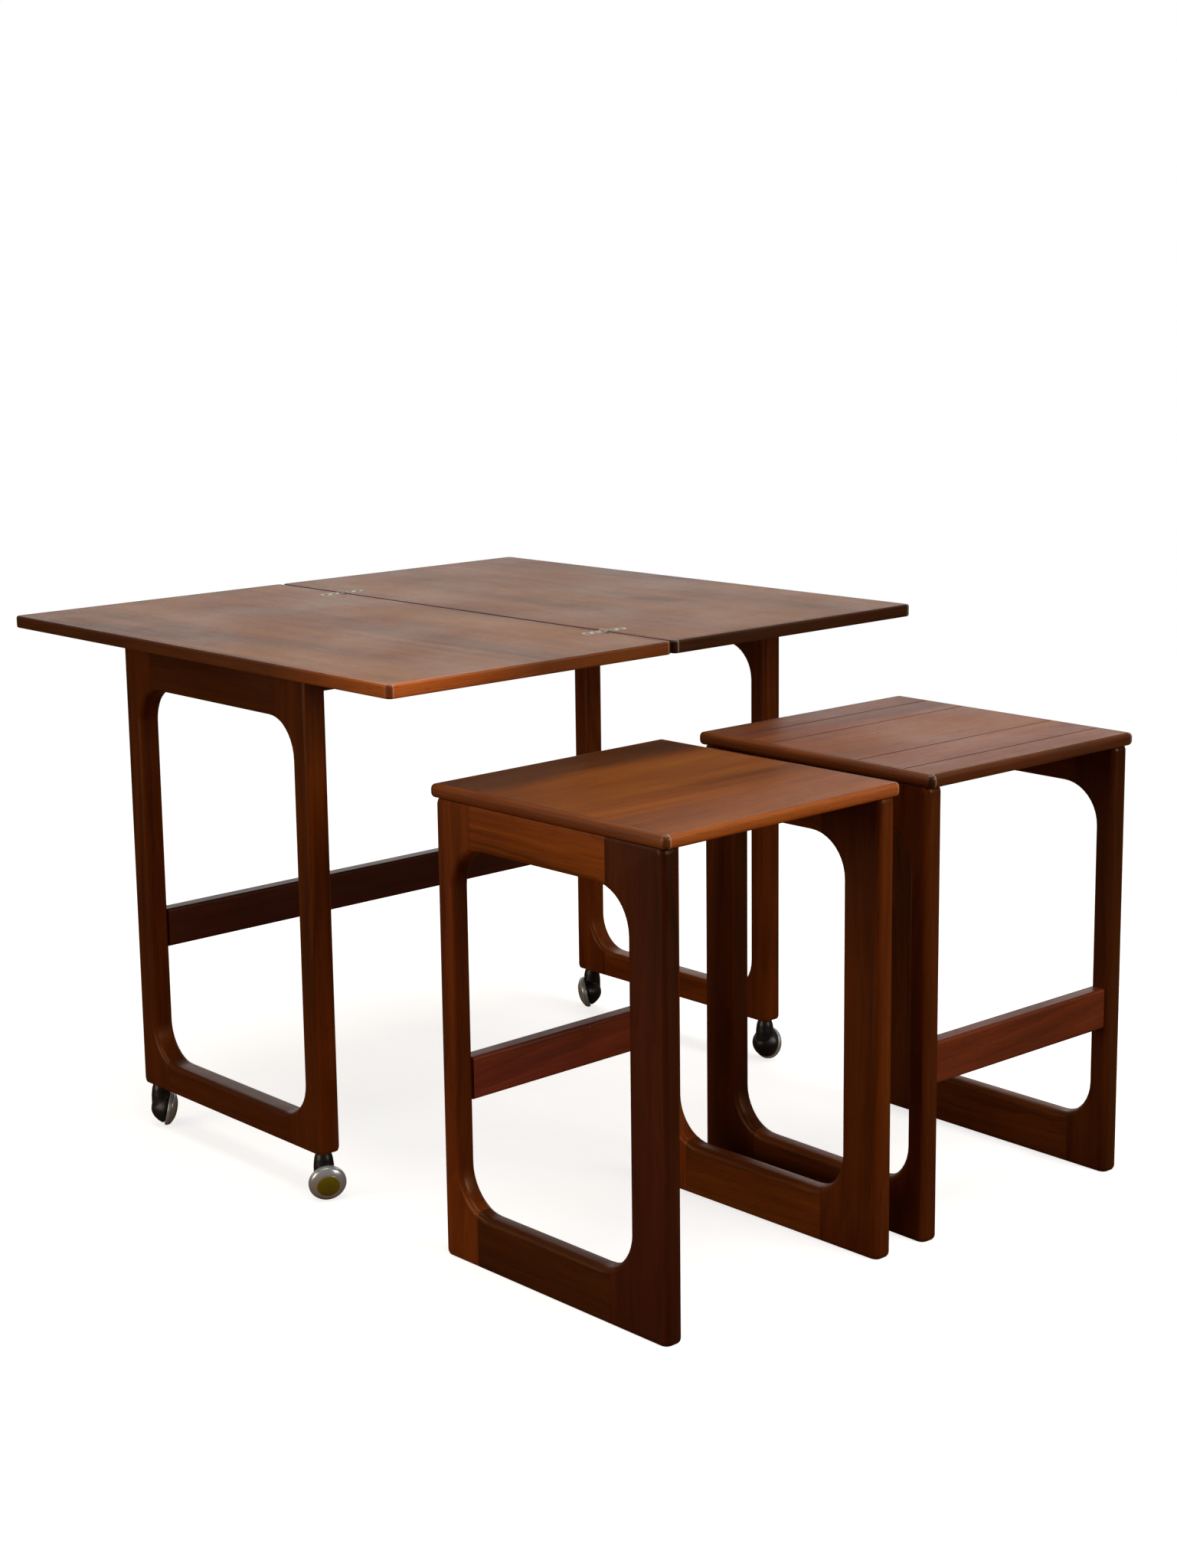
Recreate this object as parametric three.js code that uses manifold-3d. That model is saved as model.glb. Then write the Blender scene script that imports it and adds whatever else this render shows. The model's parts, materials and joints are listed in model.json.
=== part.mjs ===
// Nest of three teak tables: a castor table with a turning, fold-over top, and two
// small tables that stand beside each other under it. Millimetres, +Z up. The origin
// is on the floor, at the middle of the whole group's outline.
//
// The large table is laid out with the near corner of its opened top at (0, 0), X along
// the two leaves and Y along the leaf joint, and is moved to the origin at the end.

import * as THREE from 'three';
import * as BufferGeometryUtils from 'three/addons/utils/BufferGeometryUtils.js';
import Module from 'manifold-3d';

const wasm = await Module();
wasm.setup();

// ---- driving dimensions ------------------------------------------------------------

const GAP = 0.3;              // between touching pieces
const OUTLINE_MID = [345.5, 169.92]; // middle of the group's outline, in layout coordinates

// large table
const TOP_HEIGHT = 530;
const TOP_LENGTH = 691;       // both leaves, along X
const TOP_WIDTH = 645;        // along Y
const TOP_THICK = 12.8;
const LEAF_GAP = 2;
const TOP_CORNER = 6;
const LIP_WIDTH = 7;          // solid lipping round each panel
const TOP_ROUND = 2.2;        // rounding of the top's outer edges

const BASE_LENGTH = 638.6;    // over the end frames, along X
const BASE_DEPTH = 313.8;     // along Y
const FRAME_THICK = 24;
const LEG_WIDTH = 25;
const FRAME_BOTTOM = 48.7;
const FRAME_TOP = 515;
const OPENING_BOTTOM = 78;
const OPENING_TOP = 471.5;
const OPENING_RADIUS = 38;
const FRAME_ROUND = 5;
const FRAME_CORNER = 8;
const END_CUT = 3;            // rounded ends of the loop are planed off by this much
const JOINT_OFFSET = 24;      // butt joint, past the leg's inner edge
const STRETCHER_BOTTOM = 195;
const STRETCHER_TOP = 235;
const STRETCHER_THICK = 18;
const BOARD_Z = [496.5, 512.5];
const BOARD_DEPTH = 282;
const FELT_THICK = 1.6;

// turning top
const TURN_RADIUS = 4;        // pivot bolt
const PLATE_RADIUS = 45;
const PLATE_THICK = 1.7;

// leaf hinges
const HINGE_Y = [98, 528];
const STRAP_WIDTH = 12;
const LOBE_RADIUS = 6.4;      // each strap is two round lobes, one to a screw
const LOBE_AT = [10.5, 21.8];
const STRAP_THICK = 1.5;
const KNUCKLE_RADIUS = 1.7;
const PIN_RADIUS = 0.75;
const PIN_BORE = 1.0;
const HINGE_AXIS_Z = 530.25;

// castors
const WHEEL_RADIUS = 18.7;
const RIM = [-2.3, 1.2];       // the wheel's rim, along the axle
const WHEEL_TILT = THREE.MathUtils.degToRad(12);
const WHEEL_OFFSET = [8, 2];   // wheel centre from the swivel axis: outward, trail
const STEM_RADIUS = 4;
const STEM_LENGTH = 28;
const LEG_BORE = 4.5;
const CASTOR_INSET = 13;      // swivel axis, from the leg's outer edge along Y

// small tables
const SMALL_TOP = [290, 298];
const SMALL_HEIGHT = 438.2;
const SMALL_THICK = 12.4;
const SMALL_TOP_ROUND = 4.2;
const SMALL_ROUND = 6;
const SMALL_LENGTH = 286;     // over the end frames
const SMALL_DEPTH = 287;
const SMALL_FRAME = 20;
const WIDE_LEG = 44.5;
const NARROW_LEG = 22.5;
const SMALL_OPENING = [48.6, 384.5];
const SMALL_RADIUS = 39;
const SMALL_STRETCHER = [146.5, 186.5];
const SMALL_STRETCHER_THICK = 17;

// where the small tables stand: near left corner of the top, turn in degrees
const TABLE_1_AT = [42.1, -302.0, 0.76];
const TABLE_2_AT = [369.0, -300.2, -1.0];

// ---- materials ---------------------------------------------------------------------

const wood = (hex) => new THREE.MeshStandardMaterial({ color: hex, roughness: 0.45, metalness: 0 });
const TOP_WOOD = 0x8a4a22;
const LIP_WOOD = 0x7a3c18;
const RAIL_WOOD = 0x74380f;
const LEG_WOOD = 0x6b3418;
const DARK_WOOD = 0x5a2c1a;
const metal = (hex, roughness) => new THREE.MeshStandardMaterial({ color: hex, roughness, metalness: 1 });
const ZINC = 0xa9aaa4;
const STEEL = 0x8b8d90;
const CHROME = 0xd8dadc;
const BLACK_PLASTIC = 0x1b1b20;
const FELT_GREEN = 0x3c4a38;

// ---- solids ------------------------------------------------------------------------

function toSolid(geometry) {
  const bare = new THREE.BufferGeometry();
  bare.setAttribute('position', geometry.getAttribute('position').clone());
  if (geometry.index) bare.setIndex(geometry.index.clone());
  const merged = BufferGeometryUtils.mergeVertices(bare, 1e-3);
  const index = merged.index.array;
  const triangles = [];
  for (let i = 0; i < index.length; i += 3) {
    const [a, b, c] = [index[i], index[i + 1], index[i + 2]];
    if (a !== b && b !== c && c !== a) triangles.push(a, b, c);
  }
  return new wasm.Manifold(new wasm.Mesh({
    numProp: 3,
    vertProperties: new Float32Array(merged.getAttribute('position').array),
    triVerts: new Uint32Array(triangles),
  }));
}

function toGeometry(solid) {
  const mesh = solid.getMesh();
  const geometry = new THREE.BufferGeometry();
  geometry.setAttribute('position', new THREE.BufferAttribute(new Float32Array(mesh.vertProperties), 3));
  geometry.setIndex(new THREE.BufferAttribute(new Uint32Array(mesh.triVerts), 1));
  geometry.computeVertexNormals();
  return geometry;
}

function box(x0, x1, y0, y1, z0, z1) {
  const geometry = new THREE.BoxGeometry(x1 - x0, y1 - y0, z1 - z0);
  geometry.translate((x0 + x1) / 2, (y0 + y1) / 2, (z0 + z1) / 2);
  return toSolid(geometry);
}

// an upright cylinder
function disc(x, y, z0, z1, radius, segments) {
  const profile = [
    new THREE.Vector2(0, z0),
    new THREE.Vector2(radius, z0),
    new THREE.Vector2(radius, z1),
    new THREE.Vector2(0, z1),
  ];
  return lathe(profile, segments, new THREE.Matrix4().makeTranslation(x, y, 0));
}

// LatheGeometry turns a profile round Y: here the profile's second number runs along +Z
function lathe(profile, segments, placement) {
  const geometry = new THREE.LatheGeometry(profile, segments);
  geometry.rotateX(Math.PI / 2);
  geometry.rotateZ(Math.PI / segments);
  geometry.applyMatrix4(placement);
  return toSolid(geometry);
}

// a cylinder along Y, for the hinge knuckles and pins
function rod(x, z, y0, y1, radius, segments) {
  const geometry = new THREE.CylinderGeometry(radius, radius, y1 - y0, segments);
  geometry.translate(x, (y0 + y1) / 2, z);
  return toSolid(geometry);
}

function traceRoundedRectangle(path, x0, x1, y0, y1, radii) {
  const [bottomLeft, bottomRight, topRight, topLeft] = radii;
  path.moveTo(x0 + bottomLeft, y0);
  path.lineTo(x1 - bottomRight, y0);
  path.absarc(x1 - bottomRight, y0 + bottomRight, bottomRight, -Math.PI / 2, 0, false);
  path.lineTo(x1, y1 - topRight);
  path.absarc(x1 - topRight, y1 - topRight, topRight, 0, Math.PI / 2, false);
  path.lineTo(x0 + topLeft, y1);
  path.absarc(x0 + topLeft, y1 - topLeft, topLeft, Math.PI / 2, Math.PI, false);
  path.lineTo(x0, y0 + bottomLeft);
  path.absarc(x0 + bottomLeft, y0 + bottomLeft, bottomLeft, Math.PI, 1.5 * Math.PI, false);
  return path;
}

// extrudes a shape so that its rounded edges stay inside its outline and its thickness
function roundedExtrude(shape, thickness, round, curveSegments) {
  return new THREE.ExtrudeGeometry(shape, {
    depth: thickness - 2 * round,
    bevelEnabled: true,
    bevelThickness: round,
    bevelSize: round,
    bevelOffset: -round,
    bevelSegments: 3,
    curveSegments,
  }).translate(0, 0, round);
}

const root = new THREE.Group();

function add(group, name, solid, material) {
  const mesh = new THREE.Mesh(toGeometry(solid), material);
  mesh.name = name;
  group.add(mesh);
}

// ---- end frames --------------------------------------------------------------------

// A closed loop in the plane of Y and Z, x0 to x0 + thickness, cut at its four butt joints
// into two legs and two rails. The legs keep the curved inner corners.
function frameParts(frame) {
  const { x0, thickness, y, z, opening, radius, round, corner } = frame;
  const outline = traceRoundedRectangle(
    new THREE.Shape(), y[0], y[1], z[0] - END_CUT, z[1] + END_CUT, [corner, corner, corner, corner]);
  const hole = new THREE.Path();
  traceRoundedRectangle(hole, opening.y[0], opening.y[1], opening.z[0], opening.z[1],
    [radius, radius, radius, radius]);
  outline.holes.push(hole);
  const geometry = roundedExtrude(outline, thickness, round, 5);
  const turn = new THREE.Matrix4().makeBasis(
    new THREE.Vector3(0, 1, 0), new THREE.Vector3(0, 0, 1), new THREE.Vector3(1, 0, 0));
  geometry.applyMatrix4(turn);
  geometry.translate(x0, 0, 0);
  const loop = toSolid(geometry);

  const nearJoint = opening.y[0] + JOINT_OFFSET;
  const farJoint = opening.y[1] - JOINT_OFFSET;
  const x = [x0 - 1, x0 + thickness + 1];
  const half = GAP / 2;
  const middle = (opening.z[0] + opening.z[1]) / 2;
  const [low, high] = z;
  return {
    nearLeg: loop.intersect(box(...x, y[0] - 1, nearJoint - half, low, high)),
    farLeg: loop.intersect(box(...x, farJoint + half, y[1] + 1, low, high)),
    topRail: loop.intersect(box(...x, nearJoint + half, farJoint - half, middle, high)),
    bottomRail: loop.intersect(box(...x, nearJoint + half, farJoint - half, low, middle)),
  };
}

// ---- large table: base -------------------------------------------------------------

const baseMid = [TOP_LENGTH / 2 + 2.4, TOP_WIDTH / 2 - 2.1];
const baseX = [baseMid[0] - BASE_LENGTH / 2, baseMid[0] + BASE_LENGTH / 2];
const baseY = [baseMid[1] - BASE_DEPTH / 2, baseMid[1] + BASE_DEPTH / 2];
const innerX = [baseX[0] + FRAME_THICK, baseX[1] - FRAME_THICK];

const large = new THREE.Group();
root.add(large);

const castorAt = [];
for (const [side, x0] of [['left', baseX[0]], ['right', innerX[1]]]) {
  const parts = frameParts({
    x0,
    thickness: FRAME_THICK,
    y: baseY,
    z: [FRAME_BOTTOM, FRAME_TOP],
    opening: {
      y: [baseY[0] + LEG_WIDTH, baseY[1] - LEG_WIDTH],
      z: [OPENING_BOTTOM, OPENING_TOP],
    },
    radius: OPENING_RADIUS,
    round: FRAME_ROUND,
    corner: FRAME_CORNER,
  });
  const legX = x0 + FRAME_THICK / 2;
  const near = baseY[0] + CASTOR_INSET;
  const far = baseY[1] - CASTOR_INSET;
  castorAt.push([`${side}_front`, legX, near], [`${side}_back`, legX, far]);
  const bore = (y) => disc(legX, y, FRAME_BOTTOM - 5, FRAME_BOTTOM + STEM_LENGTH + 2, LEG_BORE, 16);
  add(large, `${side}_front_leg`, parts.nearLeg.subtract(bore(near)), wood(LEG_WOOD));
  add(large, `${side}_back_leg`, parts.farLeg.subtract(bore(far)), wood(LEG_WOOD));
  add(large, `${side}_top_rail`, parts.topRail, wood(RAIL_WOOD));
  add(large, `${side}_bottom_rail`, parts.bottomRail, wood(RAIL_WOOD));
  add(large, `${side}_felt_strip`, box(
    x0 + 5, x0 + 17, baseY[0] + 20, baseY[1] - 20, FRAME_TOP + GAP, FRAME_TOP + GAP + FELT_THICK),
  new THREE.MeshStandardMaterial({ color: FELT_GREEN, roughness: 1, metalness: 0 }));
}

const stretcherY = [baseY[1] - LEG_WIDTH + 0.5, baseY[1] - LEG_WIDTH + 0.5 + STRETCHER_THICK];
const stretcherShape = traceRoundedRectangle(
  new THREE.Shape(), stretcherY[0], stretcherY[1], STRETCHER_BOTTOM, STRETCHER_TOP, [3, 3, 3, 3]);

function stretcher(shape, x0, x1) {
  const geometry = new THREE.ExtrudeGeometry(shape, {
    depth: x1 - x0,
    bevelEnabled: false,
    curveSegments: 3,
  });
  geometry.applyMatrix4(new THREE.Matrix4().makeBasis(
    new THREE.Vector3(0, 1, 0), new THREE.Vector3(0, 0, 1), new THREE.Vector3(1, 0, 0)));
  geometry.translate(x0, 0, 0);
  return toSolid(geometry);
}
add(large, 'back_stretcher', stretcher(stretcherShape, innerX[0] + GAP, innerX[1] - GAP), wood(DARK_WOOD));

// ---- large table: turning top ------------------------------------------------------

// A quarter turn about the pivot brings the folded top square over the base.
const topMid = [TOP_LENGTH / 2, TOP_WIDTH / 2];
const leafLength = (TOP_LENGTH - LEAF_GAP) / 2;
const quarter = (TOP_LENGTH + LEAF_GAP) / 8;
const pivot = [topMid[0] - quarter, topMid[1] + quarter];
const topUnder = TOP_HEIGHT - TOP_THICK;

const boardHole = disc(pivot[0], pivot[1], BOARD_Z[0] - 1, BOARD_Z[1] + 1, TURN_RADIUS + 0.5, 24);
const board = box(
  innerX[0] + GAP, innerX[1] - GAP,
  baseMid[1] - BOARD_DEPTH / 2, baseMid[1] + BOARD_DEPTH / 2,
  BOARD_Z[0], BOARD_Z[1]);
add(large, 'pivot_board', board.subtract(boardHole), wood(RAIL_WOOD));

const plateTop = topUnder - GAP;
const plateBottom = plateTop - PLATE_THICK;
add(large, 'turning_plate', disc(pivot[0], pivot[1], plateBottom, plateTop, PLATE_RADIUS, 32),
  metal(ZINC, 0.45));
const boltHeadTop = plateBottom - GAP;
const boltProfile = [[0, 487], [TURN_RADIUS, 487], [TURN_RADIUS, 513.1], [9, 513.1], [9, boltHeadTop],
  [0, boltHeadTop]].map(([r, z]) => new THREE.Vector2(r, z));
add(large, 'pivot_bolt', lathe(boltProfile, 24, new THREE.Matrix4().makeTranslation(...pivot, 0)),
  metal(STEEL, 0.35));
const nut = disc(pivot[0], pivot[1], 490, BOARD_Z[0] - GAP, 9, 6)
  .subtract(disc(pivot[0], pivot[1], 489, BOARD_Z[0], TURN_RADIUS + GAP, 24));
add(large, 'pivot_nut', nut, metal(STEEL, 0.35));

const splitX = TOP_LENGTH / 2;

function lobes(y, towards, grow, z0, z1) {
  const [near, far] = LOBE_AT.map((at) => disc(splitX + towards * at, y, z0, z1, LOBE_RADIUS + grow, 20));
  return near.add(far);
}

function hingePocket(y, towards) {
  const floor = HINGE_AXIS_Z - KNUCKLE_RADIUS - GAP;
  const reach = [splitX - towards, splitX + towards * (LOBE_AT[0] - 2)];
  const halfWidth = STRAP_WIDTH / 2 + GAP;
  const slot = box(
    Math.min(...reach), Math.max(...reach), y - halfWidth, y + halfWidth, floor, TOP_HEIGHT + 1);
  return slot.add(lobes(y, towards, GAP, floor, TOP_HEIGHT + 1));
}

function topPieces(size, corner, thickness, round, zTop, place) {
  const shape = traceRoundedRectangle(new THREE.Shape(), place[0], place[0] + size[0],
    place[1], place[1] + size[1], [corner, corner, corner, corner]);
  const slab = toSolid(roundedExtrude(shape, thickness, round, 3).translate(0, 0, zTop - thickness));
  const inner = (grow) => box(
    place[0] + LIP_WIDTH - grow, place[0] + size[0] - LIP_WIDTH + grow,
    place[1] + LIP_WIDTH - grow, place[1] + size[1] - LIP_WIDTH + grow,
    zTop - thickness - 1, zTop + 1);
  return {
    lipping: slab.subtract(inner(GAP / 2)),
    panel: slab.intersect(inner(-GAP / 2)),
  };
}

for (const [leaf, x0, towards] of [['fixed', 0, -1], ['flap', leafLength + LEAF_GAP, 1]]) {
  let { lipping, panel } = topPieces(
    [leafLength, TOP_WIDTH], TOP_CORNER, TOP_THICK, TOP_ROUND, TOP_HEIGHT, [x0, 0]);
  for (const y of HINGE_Y) {
    const pocket = hingePocket(y, towards);
    lipping = lipping.subtract(pocket);
    panel = panel.subtract(pocket);
  }
  add(large, `${leaf}_leaf_panel`, panel, wood(TOP_WOOD));
  add(large, `${leaf}_leaf_lipping`, lipping, wood(LIP_WOOD));
}

HINGE_Y.forEach((y, index) => {
  const third = STRAP_WIDTH / 3;
  const strapZ = [TOP_HEIGHT - STRAP_THICK + 0.1, TOP_HEIGHT + 0.1];
  const bore = rod(splitX, HINGE_AXIS_Z, y - STRAP_WIDTH, y + STRAP_WIDTH, PIN_BORE, 12);
  const straps = {
    fixed: { towards: -1, spans: [[-1.5, -0.5], [0.5, 1.5]] },
    flap: { towards: 1, spans: [[-0.5, 0.5]] },
  };
  for (const [leaf, { towards, spans }] of Object.entries(straps)) {
    let solid = lobes(y, towards, 0, ...strapZ);
    for (const [from, to] of spans) {
      const span = [y + from * third + GAP / 2, y + to * third - GAP / 2];
      const reach = [splitX, splitX + towards * (LOBE_AT[0] - 2)];
      solid = solid.add(box(Math.min(...reach), Math.max(...reach), ...span, ...strapZ));
      solid = solid.add(rod(splitX, HINGE_AXIS_Z, ...span, KNUCKLE_RADIUS, 16));
    }
    add(large, `hinge_${index + 1}_${leaf}_strap`, solid.subtract(bore), metal(ZINC, 0.5));
  }
  add(large, `hinge_${index + 1}_pin`,
    rod(splitX, HINGE_AXIS_Z, y - STRAP_WIDTH / 2, y + STRAP_WIDTH / 2, PIN_RADIUS, 10), metal(STEEL, 0.4));
});

// ---- castors -----------------------------------------------------------------------

// Each castor is built with its axle in the X-Z plane, then turned about its swivel axis.
const CASTOR_TURN = { left_front: 242, left_back: -34, right_front: 4, right_back: 138 };

// brings the lathe's +Z onto the axle, which points outward and a little down
const axle = new THREE.Matrix4().makeRotationY(Math.PI / 2 + WHEEL_TILT);
const wheelHeight =
  WHEEL_RADIUS * Math.cos(Math.PI / 20) * Math.cos(WHEEL_TILT) + RIM[1] * Math.sin(WHEEL_TILT);
const wheelPlace = new THREE.Matrix4()
  .makeTranslation(WHEEL_OFFSET[0], WHEEL_OFFSET[1], wheelHeight)
  .multiply(axle);
const points = (list) => list.map(([r, z]) => new THREE.Vector2(r, z));

// the wheel is turned so that a flat of its rim lies on the floor
function wheelLathe(profile, segments) {
  const geometry = new THREE.LatheGeometry(profile, segments);
  geometry.rotateX(Math.PI / 2);
  geometry.rotateZ(Math.PI / segments);
  geometry.applyMatrix4(wheelPlace);
  return toSolid(geometry);
}

for (const [name, x, y] of castorAt) {
  const castor = new THREE.Group();
  castor.position.set(x, y, 0);
  castor.rotation.z = THREE.MathUtils.degToRad(CASTOR_TURN[name]);
  large.add(castor);

  const inside = RIM[0] - GAP;
  const bowl = wheelLathe(
    points([[0, -19], [5.5, -18.4], [10.5, -15], [14.6, -9.6], [17.3, inside], [0, inside]]), 20);
  const neck = lathe(points([
    [0, 16], [8.5, 16], [10, 24], [10, 34], [9, 42], [7.5, 46.5], [7.5, FRAME_BOTTOM - GAP],
    [STEM_RADIUS, FRAME_BOTTOM - GAP],
    [STEM_RADIUS, FRAME_BOTTOM + STEM_LENGTH], [0, FRAME_BOTTOM + STEM_LENGTH],
  ]), 16, new THREE.Matrix4());
  const roomRadius = WHEEL_RADIUS + 0.6;
  const room = wheelLathe(points([[0, inside], [roomRadius, inside], [roomRadius, 12], [0, 12]]), 20);
  add(castor, `castor_${name}_hood`, bowl.add(neck).subtract(room),
    new THREE.MeshStandardMaterial({ color: BLACK_PLASTIC, roughness: 0.4, metalness: 0 }));

  add(castor, `castor_${name}_wheel`,
    wheelLathe(points([[0, RIM[0]], [WHEEL_RADIUS - 0.6, RIM[0]], [WHEEL_RADIUS, RIM[0] + 0.6],
      [WHEEL_RADIUS, RIM[1]], [0, RIM[1]]]), 20),
    metal(CHROME, 0.3));
  const inner = RIM[1] + GAP;
  add(castor, `castor_${name}_dome`,
    wheelLathe(points([
      [0, inner], [18, inner], [17.4, 2.8], [14.6, 5], [10.5, 6.9], [5.5, 8.1], [0, 8.5],
    ]), 20),
    metal(CHROME, 0.2));
}

// ---- small tables ------------------------------------------------------------------

// Laid out with the near left corner of the top at (0, 0). The wide legs are on the open
// side and the narrow legs carry the stretcher; a turned table has them the other way.
function smallTable(name, [x, y, turn], reversed) {
  const table = new THREE.Group();
  table.position.set(x, y, 0);
  table.rotation.z = THREE.MathUtils.degToRad(turn);
  root.add(table);

  const under = SMALL_HEIGHT - SMALL_THICK - GAP;
  const frameX = [(SMALL_TOP[0] - SMALL_LENGTH) / 2, (SMALL_TOP[0] + SMALL_LENGTH) / 2];
  const frameY = [(SMALL_TOP[1] - SMALL_DEPTH) / 2, (SMALL_TOP[1] + SMALL_DEPTH) / 2];
  const near = reversed ? NARROW_LEG : WIDE_LEG;
  const far = reversed ? WIDE_LEG : NARROW_LEG;
  for (const [side, x0] of [['left', frameX[0]], ['right', frameX[1] - SMALL_FRAME]]) {
    const parts = frameParts({
      x0,
      thickness: SMALL_FRAME,
      y: frameY,
      z: [0, under],
      opening: { y: [frameY[0] + near, frameY[1] - far], z: SMALL_OPENING },
      radius: SMALL_RADIUS,
      round: SMALL_ROUND,
      corner: FRAME_CORNER,
    });
    add(table, `${name}_${side}_front_leg`, parts.nearLeg, wood(reversed ? LEG_WOOD : DARK_WOOD));
    add(table, `${name}_${side}_back_leg`, parts.farLeg, wood(LEG_WOOD));
    add(table, `${name}_${side}_top_rail`, parts.topRail, wood(RAIL_WOOD));
    add(table, `${name}_${side}_bottom_rail`, parts.bottomRail, wood(RAIL_WOOD));
  }

  const { lipping, panel } = topPieces(
    SMALL_TOP, TOP_CORNER, SMALL_THICK, SMALL_TOP_ROUND, SMALL_HEIGHT, [0, 0]);
  add(table, `${name}_top_panel`, panel, wood(TOP_WOOD));
  add(table, `${name}_top_lipping`, lipping, wood(LIP_WOOD));

  const railY = reversed
    ? [frameY[0] + NARROW_LEG - 0.5 - SMALL_STRETCHER_THICK, frameY[0] + NARROW_LEG - 0.5]
    : [frameY[1] - NARROW_LEG + 0.5, frameY[1] - NARROW_LEG + 0.5 + SMALL_STRETCHER_THICK];
  const shape = traceRoundedRectangle(new THREE.Shape(), ...railY, ...SMALL_STRETCHER, [3, 3, 3, 3]);
  add(table, `${name}_stretcher`,
    stretcher(shape, frameX[0] + SMALL_FRAME + GAP, frameX[1] - SMALL_FRAME - GAP), wood(DARK_WOOD));
}

smallTable('table_1', TABLE_1_AT, false);
smallTable('table_2', TABLE_2_AT, true);

root.position.set(-OUTLINE_MID[0], -OUTLINE_MID[1], 0);
root.updateMatrixWorld(true);

export default root;
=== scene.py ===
import itertools
import json
import math

import bmesh
import bpy
from mathutils import Matrix, Vector


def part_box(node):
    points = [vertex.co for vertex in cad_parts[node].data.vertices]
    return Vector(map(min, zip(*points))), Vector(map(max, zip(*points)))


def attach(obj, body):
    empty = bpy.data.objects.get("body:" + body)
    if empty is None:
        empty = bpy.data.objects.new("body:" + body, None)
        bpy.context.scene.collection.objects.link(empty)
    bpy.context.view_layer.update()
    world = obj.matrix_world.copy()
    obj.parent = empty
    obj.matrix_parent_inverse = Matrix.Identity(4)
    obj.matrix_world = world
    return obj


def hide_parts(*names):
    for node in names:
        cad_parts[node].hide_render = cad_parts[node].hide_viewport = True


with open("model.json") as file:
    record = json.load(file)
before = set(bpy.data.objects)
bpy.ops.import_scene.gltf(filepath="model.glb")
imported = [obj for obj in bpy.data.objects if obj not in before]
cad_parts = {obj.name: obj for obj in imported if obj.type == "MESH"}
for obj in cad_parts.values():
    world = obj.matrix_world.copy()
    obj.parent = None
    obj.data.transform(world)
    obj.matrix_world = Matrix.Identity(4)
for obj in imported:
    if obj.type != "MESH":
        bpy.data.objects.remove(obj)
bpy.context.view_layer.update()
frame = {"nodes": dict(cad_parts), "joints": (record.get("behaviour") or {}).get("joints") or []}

NODES = frame["nodes"]
JOINTS = {j["name"]: j for j in frame["joints"]}
MM = 0.001
scene = bpy.context.scene
scene.view_settings.view_transform = "Standard"

# ---- camera ------------------------------------------------------------------------

YAW, PITCH, ROLL = math.radians(40.6081), math.radians(10.7781), math.radians(-1.0731)
CAMERA_AT = Vector((-1.66056, -1.87824, 0.89487))

forward = Vector((math.sin(YAW) * math.cos(PITCH), math.cos(YAW) * math.cos(PITCH), -math.sin(PITCH)))
level = Vector((math.cos(YAW), -math.sin(YAW), 0))
upright = level.cross(forward)
right = level * math.cos(ROLL) + upright * math.sin(ROLL)
up = upright * math.cos(ROLL) - level * math.sin(ROLL)

camera = bpy.data.objects.new("camera", bpy.data.cameras.new("camera"))
scene.collection.objects.link(camera)
camera.matrix_world = Matrix((
    (right.x, up.x, -forward.x, CAMERA_AT.x),
    (right.y, up.y, -forward.y, CAMERA_AT.y),
    (right.z, up.z, -forward.z, CAMERA_AT.z),
    (0, 0, 0, 1)))
camera.data.sensor_width = 36
camera.data.lens = 57.711
camera.data.shift_x = 0.04373
camera.data.shift_y = -0.03177
camera.data.clip_start = 0.05
scene.camera = camera

# ---- node helpers ------------------------------------------------------------------


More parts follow.
